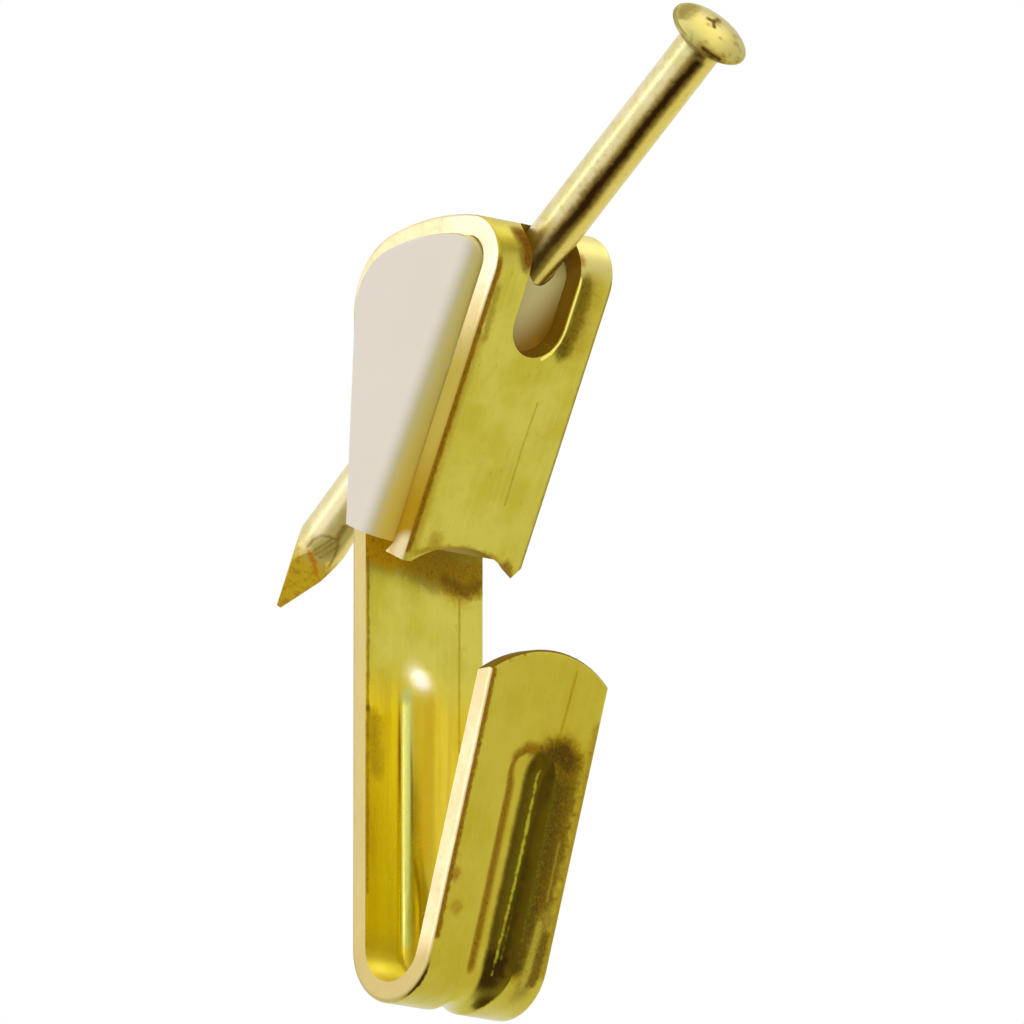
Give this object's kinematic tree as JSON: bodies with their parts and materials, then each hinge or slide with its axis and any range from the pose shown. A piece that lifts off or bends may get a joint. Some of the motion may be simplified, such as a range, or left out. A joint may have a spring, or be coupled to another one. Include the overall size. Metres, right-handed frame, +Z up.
{
  "type": "picture hook",
  "caption": "Folded brass wall hook with a ribbed, upturned lip, a moulded guide gripped in its fold and a slanting brass nail through it.",
  "frame": {"origin": "where the nail's centre line crosses the wall, in the plane of the plate's back face", "axes": "+Y goes into the wall, +Z is up, +X runs across the strip, and the room is at -Y"},
  "size_m": [0.0092, 0.0289, 0.0413],
  "materials": {
    "strip_brass": "bright rolled sheet, cut edges bare",
    "guide_plastic": "moulded, semi-matte",
    "nail_brass": "bright plated wire"
  },
  "bodies": {
    "root": {"hook_strip": "strip_brass", "nail_guide": "guide_plastic", "nail": "nail_brass"}
  },
  "joints": []
}
